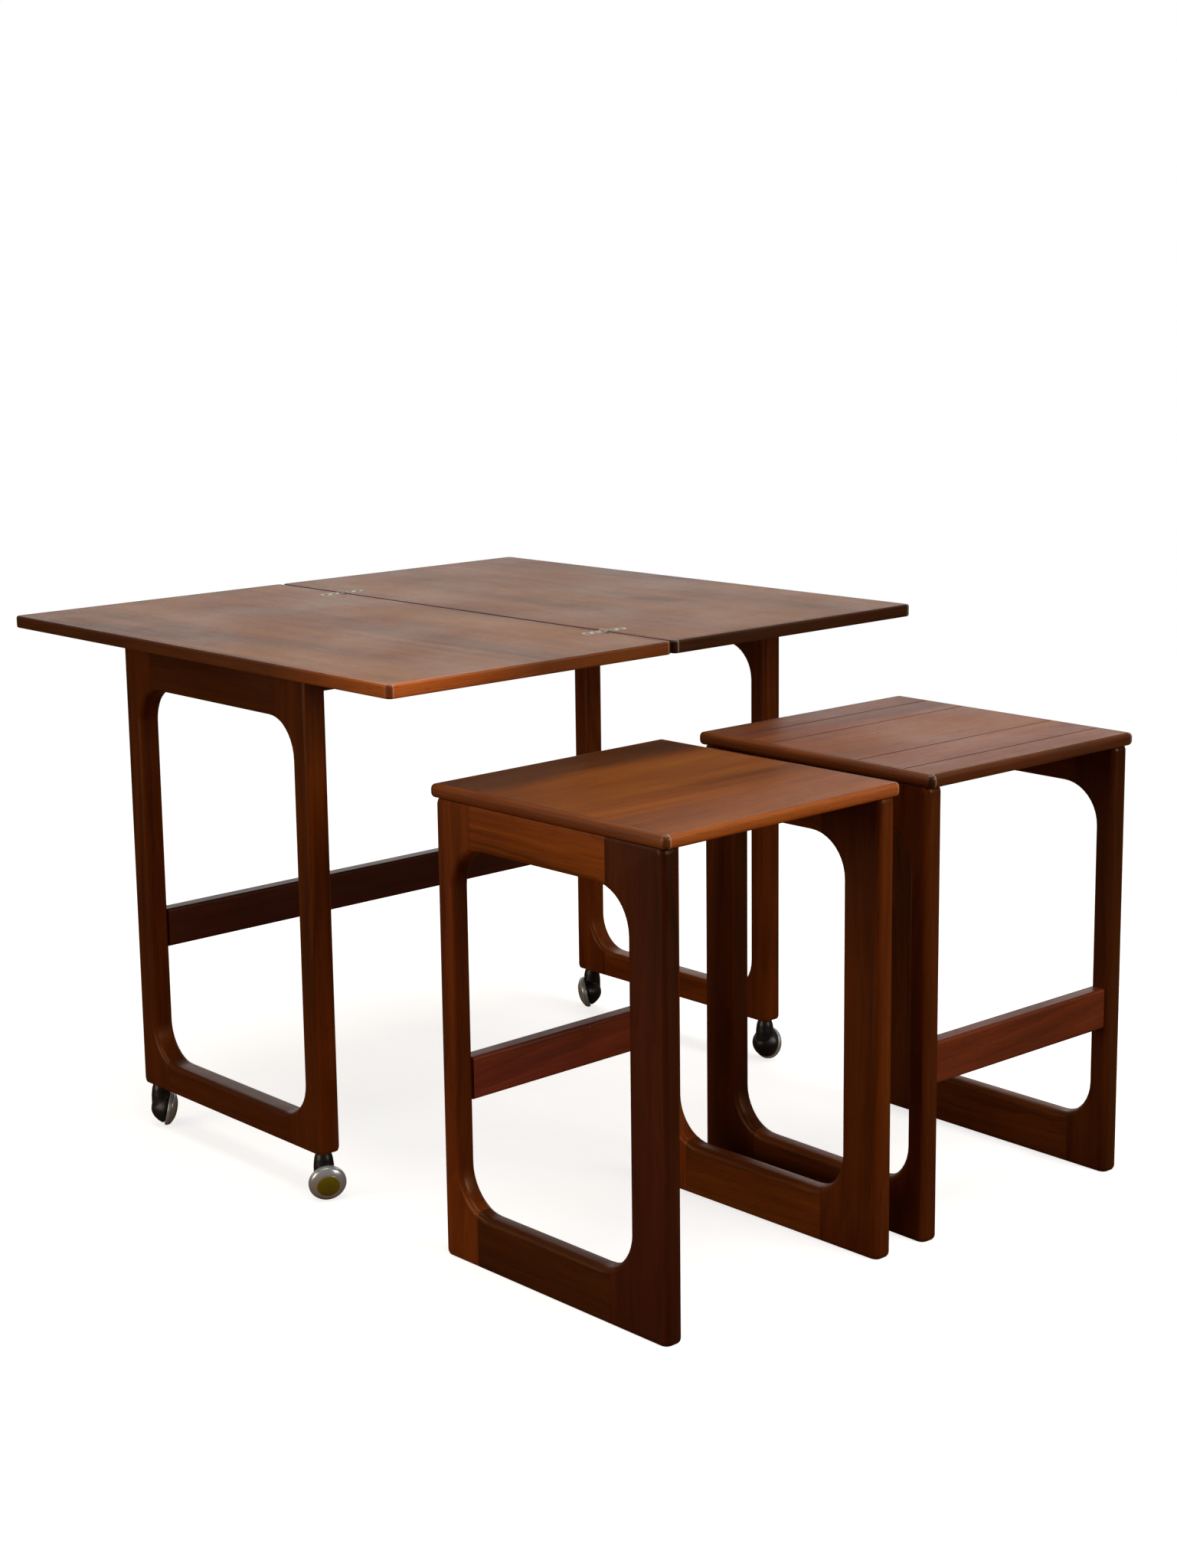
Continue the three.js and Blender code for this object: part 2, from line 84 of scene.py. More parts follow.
class Graph:
    """The node tree of a material or a world, with short ways to add nodes."""

    def __init__(self, owner):
        owner.use_nodes = True
        self.material = owner
        self.tree = owner.node_tree

    def feed(self, socket, value):
        """Links a node's output to the socket, or sets the socket's own value."""
        if isinstance(value, bpy.types.NodeSocket):
            self.tree.links.new(value, socket)
        else:
            socket.default_value = value

    def add(self, kind, inputs=None, **settings):
        node = self.tree.nodes.new(kind)
        for key, value in settings.items():
            setattr(node, key, value)
        for key, value in (inputs or {}).items():
            self.feed(node.inputs[key], value)
        return node

    def to(self, socket_name, value):
        self.feed(self.tree.nodes["Principled BSDF"].inputs[socket_name], value)

    def coordinates(self, kind):
        return self.add("ShaderNodeTexCoord").outputs[kind]

    def math(self, operation, a, b=0.0, c=0.0, clamp=False):
        node = self.add("ShaderNodeMath", {0: a, 1: b, 2: c}, operation=operation, use_clamp=clamp)
        return node.outputs[0]

    def vector_math(self, operation, *values):
        node = self.add("ShaderNodeVectorMath", dict(enumerate(values)), operation=operation)
        return node.outputs["Value" if operation in ("DISTANCE", "LENGTH") else "Vector"]

    def stretch(self, vector, scale):
        return self.vector_math("MULTIPLY", vector, scale)

    def rotate(self, vector, rotation):
        return self.add("ShaderNodeMapping", {"Vector": vector, "Rotation": rotation}).outputs[0]

    def split(self, vector):
        return self.add("ShaderNodeSeparateXYZ", {0: vector}).outputs

    def noise(self, vector, scale, detail=3.0, roughness=0.55):
        node = self.add("ShaderNodeTexNoise", {
            "Vector": vector, "Scale": scale, "Detail": detail, "Roughness": roughness})
        return node.outputs["Fac"]

    def remap(self, value, low, high, to_low=0.0, to_high=1.0):
        """Low to high becomes to_low to to_high, and stops there on both sides."""
        node = self.add("ShaderNodeMapRange", {
            "Value": value, "From Min": low, "From Max": high, "To Min": to_low, "To Max": to_high})
        return node.outputs["Result"]

    def centred(self, noise):
        """A noise, which mostly lies between 0.3 and 0.7, as -0.5 to 0.5."""
        return self.remap(noise, 0.3, 0.7, -0.5, 0.5)

    def mix(self, factor, a, b, blend="MIX"):
        node = self.add("ShaderNodeMix", data_type="RGBA", blend_type=blend)
        for socket, value in zip((node.inputs[0], node.inputs[6], node.inputs[7]), (factor, a, b)):
            self.feed(socket, value)
        return node.outputs[2]

    def mix_vectors(self, factor, a, b):
        node = self.add("ShaderNodeMix", data_type="VECTOR")
        for socket, value in zip((node.inputs[0], node.inputs[4], node.inputs[5]), (factor, a, b)):
            self.feed(socket, value)
        return node.outputs[1]

    def bump(self, strength, distance, height):
        node = self.add("ShaderNodeBump", {"Strength": strength, "Distance": distance, "Height": height})
        self.to("Normal", node.outputs["Normal"])


def rgb(hex_colour, gain=1.0):
    """Linear colour from an sRGB hex code."""
    channels = [int(hex_colour[i:i + 2], 16) / 255 for i in (0, 2, 4)]
    linear = [c / 12.92 if c <= 0.04045 else ((c + 0.055) / 1.055) ** 2.4 for c in channels]
    return tuple(min(1.0, c * gain) for c in linear) + (1.0,)


# ---- teak --------------------------------------------------------------------------

GRAIN_TURN = {"X": (0, 0, 0), "Y": (0, 0, math.radians(-90)), "Z": (0, math.radians(90), 0)}
AMBER = (1.28, 1.42, 0.62, 1)
DARK_LINE = rgb("2c140a")
# colour of the painted highlight line along the edge of each lipping corner
PAINTED_HIGHLIGHT = rgb("cdbba4")
PORE = rgb("1c0a04")
CHIP = rgb("b9a48c")
PALE_TINT = (1.0, 0.80, 0.62)
DEEP_TINT = (1.0, 0.52, 0.26)

LIP_WIDTH = 7 * MM
CORNER_START = 5.5 * MM     # from a lipping's outer edges: where a corner's end grain starts
CORNER_FULL = 4 * MM        # and where it is at its darkest
END_GRAIN = 0.35
BOARD_FADE = 7 * MM         # half the width over which one board turns into the next
BOARD_WANDER = 5 * MM


def grained(graph, vector, seed, figure):
    """Teak's figure along X, as four values from 0 to 1: rings, streaks, fibre and pores."""
    moved = graph.vector_math("ADD", vector, (seed * 1.37, seed * 0.61, seed * 0.83))
    sway = graph.noise(graph.stretch(moved, (1.6, 9.0, 9.0)), 1.0, 2.0)
    sway = graph.remap(sway, 0.25, 0.75, -0.5, 0.5)
    shift = graph.add("ShaderNodeCombineXYZ", {"Y": sway, "Z": sway}).outputs[0]
    swayed = graph.vector_math("MULTIPLY_ADD", shift, (0.03, 0.03, 0.03), moved)
    tilted = graph.add("ShaderNodeMapping", {
        "Vector": swayed,
        "Location": (0, 0.05 + 0.11 * math.sin(seed * 2.1), 0.07),
        "Rotation": (0, math.radians(2.6 * math.cos(seed)), math.radians(2.1 * math.sin(seed * 1.7)))
    }).outputs[0]
    rings = graph.add("ShaderNodeTexWave", {
        "Vector": tilted, "Scale": figure, "Distortion": 2.2, "Detail": 2.0, "Detail Scale": 0.6,
        "Detail Roughness": 0.55}, wave_type="RINGS", rings_direction="X", wave_profile="SAW")
    streaks = graph.noise(graph.stretch(swayed, (2.2, 70.0, 70.0)), 1.0, 4.0, 0.6)
    fibre = graph.noise(graph.stretch(moved, (22.0, 720.0, 720.0)), 1.0, 3.0, 0.6)
    pores = graph.noise(graph.stretch(moved, (75.0, 1500.0, 1500.0)), 1.0, 1.0)
    return rings.outputs["Fac"], streaks, fibre, graph.remap(pores, 0.62, 0.72)


def lipping_marks(graph, place, centre, half):
    """Where a lipping has its side pieces, its front piece, its corners, the dark seam along its
    panel and the painted highlight line along a corner's edge, each from 0 to 1."""
    offset = graph.split(graph.vector_math("SUBTRACT", place, (centre.x, centre.y, 0)))
    far_x = graph.math("ABSOLUTE", offset["X"])
    far_y = graph.math("ABSOLUTE", offset["Y"])
    corner_x = graph.remap(far_x, half.x - CORNER_START, half.x - CORNER_FULL)
    corner_y = graph.remap(far_y, half.y - CORNER_START, half.y - CORNER_FULL)
    outward = graph.math("MAXIMUM", graph.math("SUBTRACT", far_x, half.x - LIP_WIDTH),
                         graph.math("SUBTRACT", far_y, half.y - LIP_WIDTH))
    off_highlight = graph.math("ABSOLUTE", graph.math("SUBTRACT", far_x, half.x - CORNER_START))
    return {
        "side": graph.math("LESS_THAN", far_y, half.y - LIP_WIDTH),
        "front": graph.math("LESS_THAN", offset["Y"], LIP_WIDTH - half.y),
        "corner": graph.math("MULTIPLY", corner_x, corner_y),
        "seam": graph.remap(outward, 1.3 * MM, 0.3 * MM),
        # line: where the painted highlight along a corner's edge goes
        "line": graph.math("MULTIPLY", graph.remap(off_highlight, 0.7 * MM, 0.3 * MM), corner_y),
    }


def wood_colour(graph, along, shades, contrast, rings, streaks, fibre):
    """The figure as a colour between the dark, middle and light shades, with amber patches."""
    tone = graph.math("MULTIPLY_ADD", rings, 0.22 * contrast, 0.42 - 0.11 * contrast)
    tone = graph.math("MULTIPLY_ADD", graph.centred(streaks), 0.55 * contrast, tone)
    tone = graph.math("MULTIPLY_ADD", graph.centred(fibre), 0.16, tone)
    broad = graph.noise(graph.stretch(along, (3.0, 11.0, 11.0)), 1.0, 3.0)
    tone = graph.math("ADD", tone, graph.remap(broad, 0.3, 0.7, -0.26, 0.30), clamp=True)
    ramp = graph.add("ShaderNodeValToRGB", {"Fac": tone})
    dark, middle, light = (rgb(shade) for shade in shades)
    for element, colour, position in zip(ramp.color_ramp.elements, (dark, light), (0.05, 0.95)):
        element.color = colour
        element.position = position
    ramp.color_ramp.elements.new(0.45).color = middle
    patches = graph.noise(graph.stretch(along, (2.0, 26.0, 26.0)), 1.0, 2.0)
    return graph.mix(graph.remap(patches, 0.42, 0.62, 0.0, 0.55), ramp.outputs["Color"], AMBER, "MULTIPLY")


def brightness(graph, place, marks, gain, front, painted_light):
    """What a material's colour is multiplied by: a gain over all of it, painted light and shade on a
    lipping's front piece, darker end grain at its corners, painted light and shade on faces that look
    along -Y, and a painted pool of light round one end."""
    strength = gain
    if marks:
        # painted light and shade on a lipping's front piece, and darker end grain at its corners
        strength = graph.math("MULTIPLY", graph.remap(marks["front"], 0, 1, gain, gain * front),
                              graph.remap(marks["corner"], 0, 1, 1.0, END_GRAIN))
    # painted light and shade on faces that look along -Y
    if front != 1.0:
        facing = graph.split(graph.coordinates("Normal"))["Y"]
        strength = graph.math("MULTIPLY", strength, graph.remap(facing, -0.4, -0.9, 1.0, front))
    # a painted pool of light round one end
    if painted_light:
        x, y, reach, painted_light_gain = painted_light
        away = graph.vector_math("DISTANCE", graph.stretch(place, (1, 1, 0)), (x, y, 0))
        strength = graph.math("MULTIPLY", strength, graph.remap(away, 0.02, reach, painted_light_gain, 1.0))
    return strength


def board_brightness(graph, along, boards, strength):
    """The strength, times each board's own gain between its two wandering edges."""
    wander = graph.noise(graph.stretch(along, (6.0, 2.0, 2.0)), 1.0, 2.0)
    wander = graph.remap(wander, 0.3, 0.7, -1, 1)
    across = graph.math("MULTIPLY_ADD", wander, BOARD_WANDER, graph.split(along)["Y"])
    for start, stop, board_gain in boards:
        inside = graph.math("MULTIPLY", graph.remap(across, start - BOARD_FADE, start + BOARD_FADE),
                            graph.remap(across, stop + BOARD_FADE, stop - BOARD_FADE))
        strength = graph.math("MULTIPLY", graph.remap(inside, 0, 1, 1.0, board_gain), strength)
    return strength


def board_grooves(graph, along, joints):
    """Thin broken lines where boards meet, from 0 to 1."""
    across = graph.split(along)["Y"]
    broken = graph.noise(graph.stretch(along, (5.0, 90.0, 90.0)), 1.0)
    broken = graph.remap(broken, 0.3, 0.55, 0.35, 0.9)
    groove = 0.0
    for joint in joints:
        offset = graph.math("ABSOLUTE", graph.math("SUBTRACT", across, joint))
        line = graph.remap(offset, 1.5 * MM, 0.4 * MM)
        groove = graph.math("MULTIPLY_ADD", line, broken, groove)
    return groove


def chips(graph, place, specks):
    """A few small pale chips, from 0 to specks."""
    dots = graph.add("ShaderNodeTexVoronoi", {"Vector": place, "Scale": 42.0, "Randomness": 1.0})
    small = graph.remap(dots.outputs["Distance"], 0.045, 0.028)
    rare = graph.math("GREATER_THAN", graph.split(dots.outputs["Color"])["X"], 0.955)
    return graph.math("MULTIPLY", graph.math("MULTIPLY", small, rare), specks)


def teak(name, shades, grain="X", seed=0.0, figure=26.0, contrast=0.55, rough=0.36, turn=0.0,
         lipping=None, joints=(), boards=(), specks=0.55, coat=0.12, gain=1.0, front=1.0,
         painted_light=None, tint=PALE_TINT):
    """Oiled teak. shades = dark, middle and light. lipping = (centre, half size) of a top's edge
    strips, whose sides run along Y, whose corners show darker end grain and which have a painted
    highlight line along a corner's edge. joints = places across a top where boards meet in a thin dark
    line. boards = (from, to, gain) strips of a top, across the grain, in metres. front = painted light
    and shade: the gain of the faces that look along -Y, and also of the whole front piece of a lipping.
    painted_light = (x, y, reach, gain) of a painted pool of light round one end. tint = colour of the
    gloss."""
    graph = Graph(bpy.data.materials.new(name))
    place = graph.coordinates("Object")
    if turn:
        place = graph.rotate(place, (0, 0, -turn))
    along = graph.rotate(place, GRAIN_TURN[grain])
    marks = None
    if lipping:
        marks = lipping_marks(graph, place, *lipping)
        along = graph.mix_vectors(marks["side"], along, graph.rotate(place, GRAIN_TURN["Y"]))
    rings, streaks, fibre, pores = grained(graph, along, seed, figure)

    colour = wood_colour(graph, along, shades, contrast, rings, streaks, fibre)
    strength = brightness(graph, place, marks, gain, front, painted_light)
    if boards:
        strength = board_brightness(graph, along, boards, strength)
    scaled = graph.add("ShaderNodeCombineXYZ", {"X": strength, "Y": strength, "Z": strength}).outputs[0]
    colour = graph.mix(1.0, colour, scaled, "MULTIPLY")
    if joints:
        groove = board_grooves(graph, along, joints)
        colour = graph.mix(groove, colour, DARK_LINE)
    if lipping:
        # painted highlight line along the edge of each lipping corner
        colour = graph.mix(graph.math("MULTIPLY", marks["line"], 0.45), colour, PAINTED_HIGHLIGHT)
        colour = graph.mix(graph.math("MULTIPLY", marks["seam"], 0.6), colour, DARK_LINE)
    colour = graph.mix(graph.math("MULTIPLY", pores, 0.55), colour, graph.mix(0.8, colour, PORE))
    chip = chips(graph, place, specks)
    graph.to("Base Color", graph.mix(chip, colour, CHIP))

    smudge = graph.noise(place, 9.0, 4.0, 0.6)
    roughness = graph.math("MULTIPLY_ADD", graph.centred(smudge), 0.12, rough)
    roughness = graph.math("MULTIPLY_ADD", graph.centred(fibre), 0.10, roughness)
    roughness = graph.math("MULTIPLY_ADD", pores, 0.15, roughness)
    height = graph.math("MULTIPLY_ADD", pores, -0.8, graph.math("MULTIPLY", fibre, 0.5))
    height = graph.math("MULTIPLY_ADD", streaks, 0.35, height)
    height = graph.math("MULTIPLY_ADD", chip, -1.5, height)
    if joints:
        roughness = graph.math("MULTIPLY_ADD", groove, 0.5, roughness)
        height = graph.math("MULTIPLY_ADD", groove, -3.0, height)
        coat = graph.math("MULTIPLY_ADD", groove, -coat, coat)
    graph.to("Roughness", roughness)
    graph.bump(0.22, 0.0004, height)
    graph.to("Coat Weight", coat)
    graph.to("Specular IOR Level", 0.36)
    graph.to("Coat Roughness", 0.28)
    graph.to("Specular Tint", tint + (1.0,))
    return graph.material


# ---- metals, plastic, felt ---------------------------------------------------------

GRIME = rgb("4a4438")
DUST = rgb("3a3632")


def metal(name, colour, rough, grime, scale=260.0, metallic=1.0):
    graph = Graph(bpy.data.materials.new(name))
    place = graph.coordinates("Object")
    cloud = graph.noise(place, scale, 4.0, 0.65)
    fine = graph.noise(place, scale * 7, 3.0, 0.6)
    dirt = graph.math("MULTIPLY", graph.remap(cloud, 0.45, 0.7), grime)
    graph.to("Base Color", graph.mix(dirt, rgb(colour), GRIME))
    roughness = graph.math("MULTIPLY_ADD", graph.centred(fine), 0.1, rough)
    graph.to("Roughness", graph.math("MULTIPLY_ADD", dirt, 0.3, roughness))
    graph.to("Metallic", metallic)
    graph.bump(0.12, 0.0002, fine)
    return graph.material


def plastic(name, colour, rough, scale=420.0):
    graph = Graph(bpy.data.materials.new(name))
    place = graph.coordinates("Object")
    dust = graph.noise(place, 60.0, 5.0, 0.65)
    grit = graph.noise(place, scale, 3.0, 0.6)
    graph.to("Base Color", graph.mix(graph.remap(dust, 0.45, 0.75, 0.0, 0.35), rgb(colour), DUST))
    graph.to("Roughness", graph.math("MULTIPLY_ADD", graph.remap(dust, 0.35, 0.7), 0.2, rough))
    graph.bump(0.15, 0.0003, grit)
    return graph.material


def felt(name, colour):
    graph = Graph(bpy.data.materials.new(name))
    fluff = graph.noise(graph.coordinates("Object"), 900.0, 4.0, 0.7)
    graph.to("Base Color", graph.mix(graph.remap(fluff, 0.3, 0.7), rgb(colour, 0.6), rgb(colour, 1.5)))
    graph.to("Roughness", 1.0)
    graph.to("Sheen Weight", 0.4)
    graph.bump(0.6, 0.0005, fluff)
    return graph.material


# ---- smoothing the CAD nodes -------------------------------------------------------


def smoothing_group(angle):
    """Merges the mesh's split vertices and shades it smooth where faces meet under the angle."""
    group = bpy.data.node_groups.new("smooth_rounds", "GeometryNodeTree")
    group.interface.new_socket("Geometry", in_out="INPUT", socket_type="NodeSocketGeometry")
    group.interface.new_socket("Geometry", in_out="OUTPUT", socket_type="NodeSocketGeometry")
    new = group.nodes.new
    start, end = new("NodeGroupInput"), new("NodeGroupOutput")
    merge = new("GeometryNodeMergeByDistance")
    merge.inputs["Distance"].default_value = 2e-5
    faces, edges = new("GeometryNodeSetShadeSmooth"), new("GeometryNodeSetShadeSmooth")
    faces.domain = "FACE"
    edges.domain = "EDGE"
    edge_angle, flat = new("GeometryNodeInputMeshEdgeAngle"), new("FunctionNodeCompare")
    flat.operation = "LESS_EQUAL"
    flat.inputs["B"].default_value = angle
    link = group.links.new
    link(start.outputs[0], merge.inputs["Geometry"])
    link(merge.outputs["Geometry"], faces.inputs["Geometry"])
    link(faces.outputs["Geometry"], edges.inputs["Geometry"])
    link(edge_angle.outputs["Unsigned Angle"], flat.inputs["A"])
    link(flat.outputs["Result"], edges.inputs["Shade Smooth"])
    link(edges.outputs["Geometry"], end.inputs[0])
    return group


SMOOTH = smoothing_group(math.radians(38))


def finish_node(name, material):
    node = NODES[name]
    node.data.materials.clear()
    node.data.materials.append(material)
    node.modifiers.new("smooth", "NODES").node_group = SMOOTH
    weighted = node.modifiers.new("weighted", "WEIGHTED_NORMAL")
    weighted.keep_sharp = True
    weighted.weight = 80


# ---- wood on the nodes -------------------------------------------------------------

# dark, middle and light
TOP = ("4d290c", "784419", "8d5a2d")
SMALL_TOP = ("5a2c17", "7e4224", "945836")
RAIL = ("3c1602", "5a2504", "70340a")
LEG = ("3a1502", "582404", "6c3007")
SMALL_RAIL = ("4f2206", "75370f", "8a481a")
SMALL_LEG = ("421a04", "62290a", "773910")
PURPLE = ("30110a", "4c1c10", "602a18")
LIP = ("56240c", "783a14", "8e4d22")
GOLD = ("502504", "7a3d0b", "8c4f17")

MEMBERS = (("front_leg", "Z"), ("back_leg", "Z"), ("top_rail", "Y"), ("bottom_rail", "Y"))
TURN_1, TURN_2 = math.radians(0.76), math.radians(-1.0)
SMALL_TOP_SIZE = (290, 298, 0)

member_numbers = itertools.count(1)


def outline_of(node, turn=0.0, size=None):
    """Centre and half size of a lipping, in coordinates turned with it."""
    low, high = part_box(node)
    centre = Matrix.Rotation(-turn, 3, "Z") @ ((low + high) / 2)
    half = Vector(size) / 2 * MM if size else (high - low) / 2
    return centre, half


def finish_frame(prefix, woods, painted_light_gains, seed_step, **look):
    """Teak on the four members of an end frame; woods and painted_light_gains, which paint each member's
    light and shade, are in the order of MEMBERS.
    """
    for (part, grain), wood, gain in zip(MEMBERS, woods, painted_light_gains):
        finish_node(f"{prefix}_{part}", teak(
            f"teak_{prefix}_{part}", wood, grain=grain, seed=next(member_numbers) * seed_step, figure=30,
            contrast=0.8, gain=gain, tint=DEEP_TINT, **look))


# Each member's gain and front paint the light and shade on the big table's end frames: the left top rail
# darker under the top, the left frame's faces along -Y lighter, the right frame lighter.
finish_frame("left", (LEG, LEG, RAIL, RAIL), (0.85, 0.8, 0.5, 0.72), 1.0, front=1.7, coat=0.05)
finish_frame("right", (LEG, LEG, RAIL, RAIL), (1.4, 1.4, 1.0, 1.5), 1.0, front=0.9, coat=0.05)
finish_node("back_stretcher", teak("teak_back_stretcher", PURPLE, seed=9.3, figure=30, gain=0.8))
finish_node("pivot_board", teak("teak_pivot_board", RAIL, seed=10.1, figure=24, rough=0.5))
# The last gain paints light and shade on each lipping's front piece.
for leaf, number, panel_gain, lip_gain, front_painted_light in (
        ("fixed", 0, 1.0, 0.45, 1.3), ("flap", 1, 0.9, 0.6, 0.55)):
    centre, half = outline_of(f"{leaf}_leaf_lipping")
    # a painted pool of light round the fixed leaf lipping's front left corner
    painted_light_end = (centre.x - half.x, centre.y - half.y, 0.18, 4.0) if leaf == "fixed" else None
    finish_node(f"{leaf}_leaf_panel", teak(
        f"teak_{leaf}_panel", TOP, seed=11.0 + number * 3, grain="Y", figure=16, contrast=0.45,
        rough=0.42, specks=0.2, gain=panel_gain))
    finish_node(f"{leaf}_leaf_lipping", teak(
        f"teak_{leaf}_lipping", LIP, seed=12.5 + number * 3, figure=20, lipping=(centre, half),
        gain=lip_gain, front=front_painted_light, painted_light=painted_light_end))

# What differs between the small tables. boards and joints are measured from the front edge, in
# metres. left and right are the gains of the frames' members, which paint their light and shade,
# and front_painted_shade is the painted shade on their faces along -Y. lip is the lipping's gain and
# that of its front piece, which paints light and shade on it.
SMALL = {
    1: dict(turn=TURN_1, top=GOLD, left_front=PURPLE, boards=((0.238, 0.30, 0.45), (0.0, 0.11, 1.25)),
            joints=(), left=(0.8, 1.35, 1.4, 0.36), right=(0.85, 1.8, 1.0, 0.95),
            front_painted_shade={"left": 0.58, "right": 1.0}, lip=(0.95, 1.35), stretcher=2.5),
    2: dict(turn=TURN_2, top=SMALL_TOP, left_front=SMALL_LEG,
            boards=((0.095, 0.151, 0.95), (0.207, 0.255, 0.93)), joints=(0.039, 0.095, 0.207, 0.255),
            left=(0.95, 0.75, 0.85, 0.8), right=(0.6, 0.7, 0.8, 0.75),
            front_painted_shade={"left": 0.58, "right": 0.58}, lip=(0.85, 0.8), stretcher=1.8),
}
for number, own in SMALL.items():
    name = f"table_{number}"
    turn = own["turn"]
    for side, front_leg in (("left", own["left_front"]), ("right", SMALL_LEG)):
        finish_frame(f"{name}_{side}", (front_leg, SMALL_LEG, SMALL_RAIL, SMALL_RAIL), own[side], 1.7,
                     turn=turn, front=own["front_painted_shade"][side], coat=0.06)
    centre, half = outline_of(f"{name}_top_lipping", turn, SMALL_TOP_SIZE)
    edge = centre.y - half.y
    finish_node(f"{name}_top_panel", teak(
        f"teak_{name}_top", own["top"], seed=44.0 + number, figure=20, turn=turn, rough=0.42,
        specks=0.2, contrast=0.45, boards=[(edge + a, edge + b, gain) for a, b, gain in own["boards"]],
        joints=[edge + joint for joint in own["joints"]]))
    # the second gain paints light and shade on the lipping's front piece
    lip_gain, front_painted_light = own["lip"]
    finish_node(f"{name}_top_lipping", teak(
        f"teak_{name}_lipping", LIP, seed=33.0 + number, figure=22, turn=turn, lipping=(centre, half),
        gain=lip_gain, front=front_painted_light, coat=0.3))
    finish_node(f"{name}_stretcher", teak(
        f"teak_{name}_stretcher", PURPLE, seed=36.0 + number, figure=28, turn=turn,
        gain=own["stretcher"]))

# ---- the other nodes ---------------------------------------------------------------

ZINC = metal("zinc_plate", "cfcabd", 0.34, 0.7, metallic=0.55)
STEEL = metal("bright_steel", "9b9ca0", 0.3, 0.3)
# dark screw heads: tarnish, and painted shade for their countersunk recesses
TARNISH_AND_SHADE = metal("screw_tarnish_and_shade", "4c443b", 0.5, 0.6, metallic=0.6)
CHROME = metal("castor_chrome", "d4dae2", 0.22, 0.12, scale=90.0, metallic=0.6)
# olive colour of a painted reflection on each castor's dome
CAP_REFLECTION = metal("castor_cap_reflection", "8f7f0e", 0.36, 0.35, scale=90.0, metallic=0.35)
BLACK = plastic("castor_black", "131318", 0.24)
FELT = felt("felt_strip", "2f3a2c")
for material, names in (
        (ZINC, ("turning_plate", "hinge_1_fixed_strap", "hinge_1_flap_strap", "hinge_2_fixed_strap",
                "hinge_2_flap_strap")),
        (STEEL, ("pivot_bolt", "pivot_nut", "hinge_1_pin", "hinge_2_pin")),
        (FELT, ("left_felt_strip", "right_felt_strip"))):
    for name in names:
        finish_node(name, material)

# ---- new pieces --------------------------------------------------------------------

SHARP = math.radians(40)


def mesh_object(name, mesh, material, body):
    piece = bpy.data.objects.new(name, mesh)
    scene.collection.objects.link(piece)
    piece.data.materials.append(material)
    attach(piece, body)
    return piece


def as_mesh(built, name):
    data = bpy.data.meshes.new(name)
    built.to_mesh(data)
    built.free()
    return data


def lathe(name, profile, segments, matrix):
    """A closed solid of revolution. profile = (radius, height along Z), from axis to axis, in metres."""
    built = bmesh.new()
    rows = []
    for radius, height in profile:
        if radius < 1e-7:
            rows.append([built.verts.new((0, 0, height))])
            continue
        angles = [2 * math.pi * i / segments for i in range(segments)]
        rows.append([built.verts.new((radius * math.cos(angle), radius * math.sin(angle), height))
                     for angle in angles])
    for one, two in zip(rows, rows[1:]):
        for i in range(segments):
            j = (i + 1) % segments
            corners = [one[i % len(one)], one[j % len(one)], two[j % len(two)], two[i % len(two)]]
            unique = list(dict.fromkeys(corners))
            if len(unique) > 2:
                built.faces.new(unique)
    built.transform(matrix)
    bmesh.ops.recalc_face_normals(built, faces=built.faces)
    for face in built.faces:
        face.smooth = True
    for edge in built.edges:
        if len(edge.link_faces) == 2 and edge.calc_face_angle() > SHARP:
            edge.smooth = False
    return as_mesh(built, name)


def rounded(points, radius, steps=4):
    """A profile with its inner corners rounded: points are (r, z) in mm, the result is in metres."""
    result = [Vector(points[0])]
    for before, corner, after in zip(points, points[1:], points[2:]):
        here = Vector(corner)
        a, b = Vector(before) - here, Vector(after) - here
        cut = min(radius, a.length * 0.45, b.length * 0.45)
        p, q = here + a.normalized() * cut, here + b.normalized() * cut
        for i in range(steps + 1):
            t = i / steps
            result.append(p * (1 - t) ** 2 + here * 2 * t * (1 - t) + q * t ** 2)
    result.append(Vector(points[-1]))
    return [(p.x * MM, p.y * MM) for p in result]


def boolean(kind, base, other):
    """The mesh of one mesh cut by, or joined to, another."""
    helpers = [bpy.data.objects.new(mesh.name, mesh) for mesh in (base, other)]
    for helper in helpers:
        scene.collection.objects.link(helper)
    cut = helpers[0].modifiers.new(kind, "BOOLEAN")
    cut.operation = kind
    cut.object = helpers[1]
    cut.solver = "EXACT"
    bpy.context.view_layer.update()
    mesh = bpy.data.meshes.new_from_object(helpers[0].evaluated_get(bpy.context.evaluated_depsgraph_get()))
    for helper in helpers:
        bpy.data.objects.remove(helper)
    return mesh


# ---- castors -----------------------------------------------------------------------

FRAME_BOTTOM = 48.7
HOOD_TOP = FRAME_BOTTOM - 0.3
STEM_TOP = FRAME_BOTTOM + 28
PLACES = ("left_front", "left_back", "right_front", "right_back")
FINE, COARSE = 96, 64       # sides of a round piece

